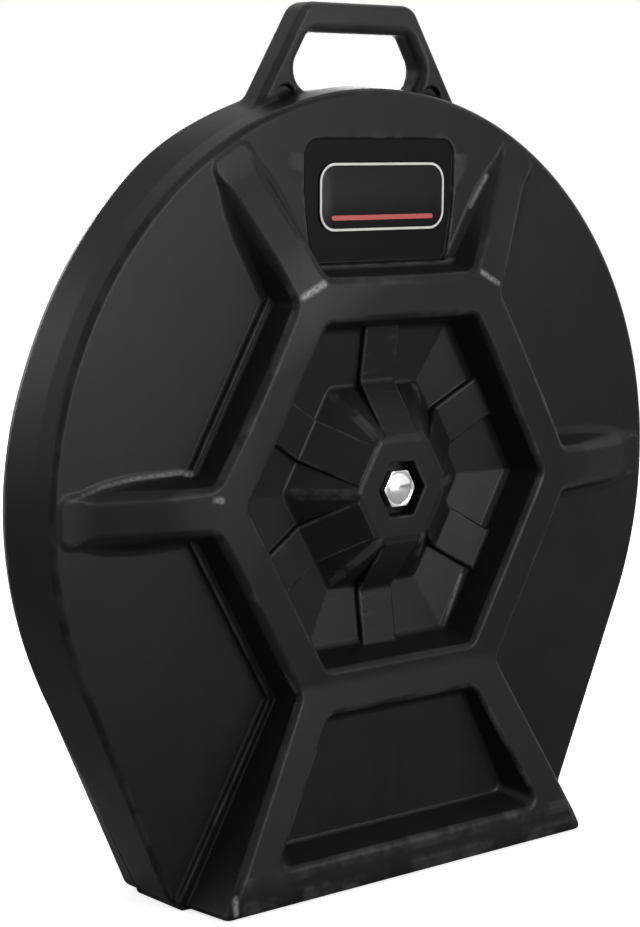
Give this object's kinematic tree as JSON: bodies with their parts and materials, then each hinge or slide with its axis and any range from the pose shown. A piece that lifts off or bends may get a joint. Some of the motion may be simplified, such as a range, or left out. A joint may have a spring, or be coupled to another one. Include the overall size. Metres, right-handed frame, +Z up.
{
  "type": "cymbal case",
  "caption": "Round hard case that stands on a flat foot and holds a stack of cymbals on a central spindle, with a moulded carrying handle and a lift-off rear shell.",
  "frame": {"origin": "centre of the case's footprint on the ground", "axes": "+Z up, +Y from the front with the hexagon towards the rear shell, along the spindle"},
  "size_m": [0.6208, 0.119, 0.6714],
  "materials": {
    "shell_plastic": "near-black satin moulded plastic with a fine grain",
    "label_plastic": "dark satin plate with a thin pale border",
    "chrome": "bright chrome",
    "zinc": "zinc-plated steel",
    "sleeve_plastic": "black plastic tube",
    "felt": "dark pressed felt",
    "knob_plastic": "black moulded plastic",
    "brass": "plain turned brass"
  },
  "bodies": {
    "case": {"front_shell": "shell_plastic", "label_plate": "label_plastic", "spindle_bolt": "chrome", "lock_washer": "zinc", "lock_nut": "zinc", "cup_washer": "zinc", "spindle_sleeve": "sleeve_plastic", "felt_pad_1": "felt", "felt_pad_2": "felt", "felt_pad_3": "felt", "felt_pad_4": "felt", "felt_pad_5": "felt", "felt_pad_6": "felt", "felt_pad_7": "felt", "felt_pad_8": "felt"},
    "clamp": {"clamp_washer": "zinc"},
    "wing": {"wing_nut": "zinc"},
    "lid": {"rear_shell": "shell_plastic"},
    "knob_washer": {"rear_washer": "zinc"},
    "knob": {"hand_knob": "knob_plastic", "knob_insert": "brass", "knob_cap": "knob_plastic"}
  },
  "joints": [
    {"name": "lid_slide", "type": "slide", "parent": "case", "child": "lid", "axis": [0, 1, 0], "range_m": [0, 0.25]},
    {"name": "knob_travel", "type": "slide", "parent": "lid", "child": "knob_washer", "axis": [0, 1, 0], "range_m": [0, 0.003]},
    {"name": "knob_turn", "type": "hinge", "parent": "knob_washer", "child": "knob", "pos_m": [0, 0.0436, 0.3019], "axis": [0, 1, 0], "range_deg": [0, 720]},
    {"name": "clamp_travel", "type": "slide", "parent": "case", "child": "clamp", "axis": [0, 1, 0], "range_m": [0, 0.003]},
    {"name": "wing_turn", "type": "hinge", "parent": "clamp", "child": "wing", "pos_m": [0, 0.02, 0.3019], "axis": [0, 1, 0], "range_deg": [0, 720]}
  ],
  "couplings": [
    {"joint": "knob_travel", "follows": "knob_turn", "m_per_rad": 0.00023873},
    {"joint": "clamp_travel", "follows": "wing_turn", "m_per_rad": 0.00023873}
  ]
}
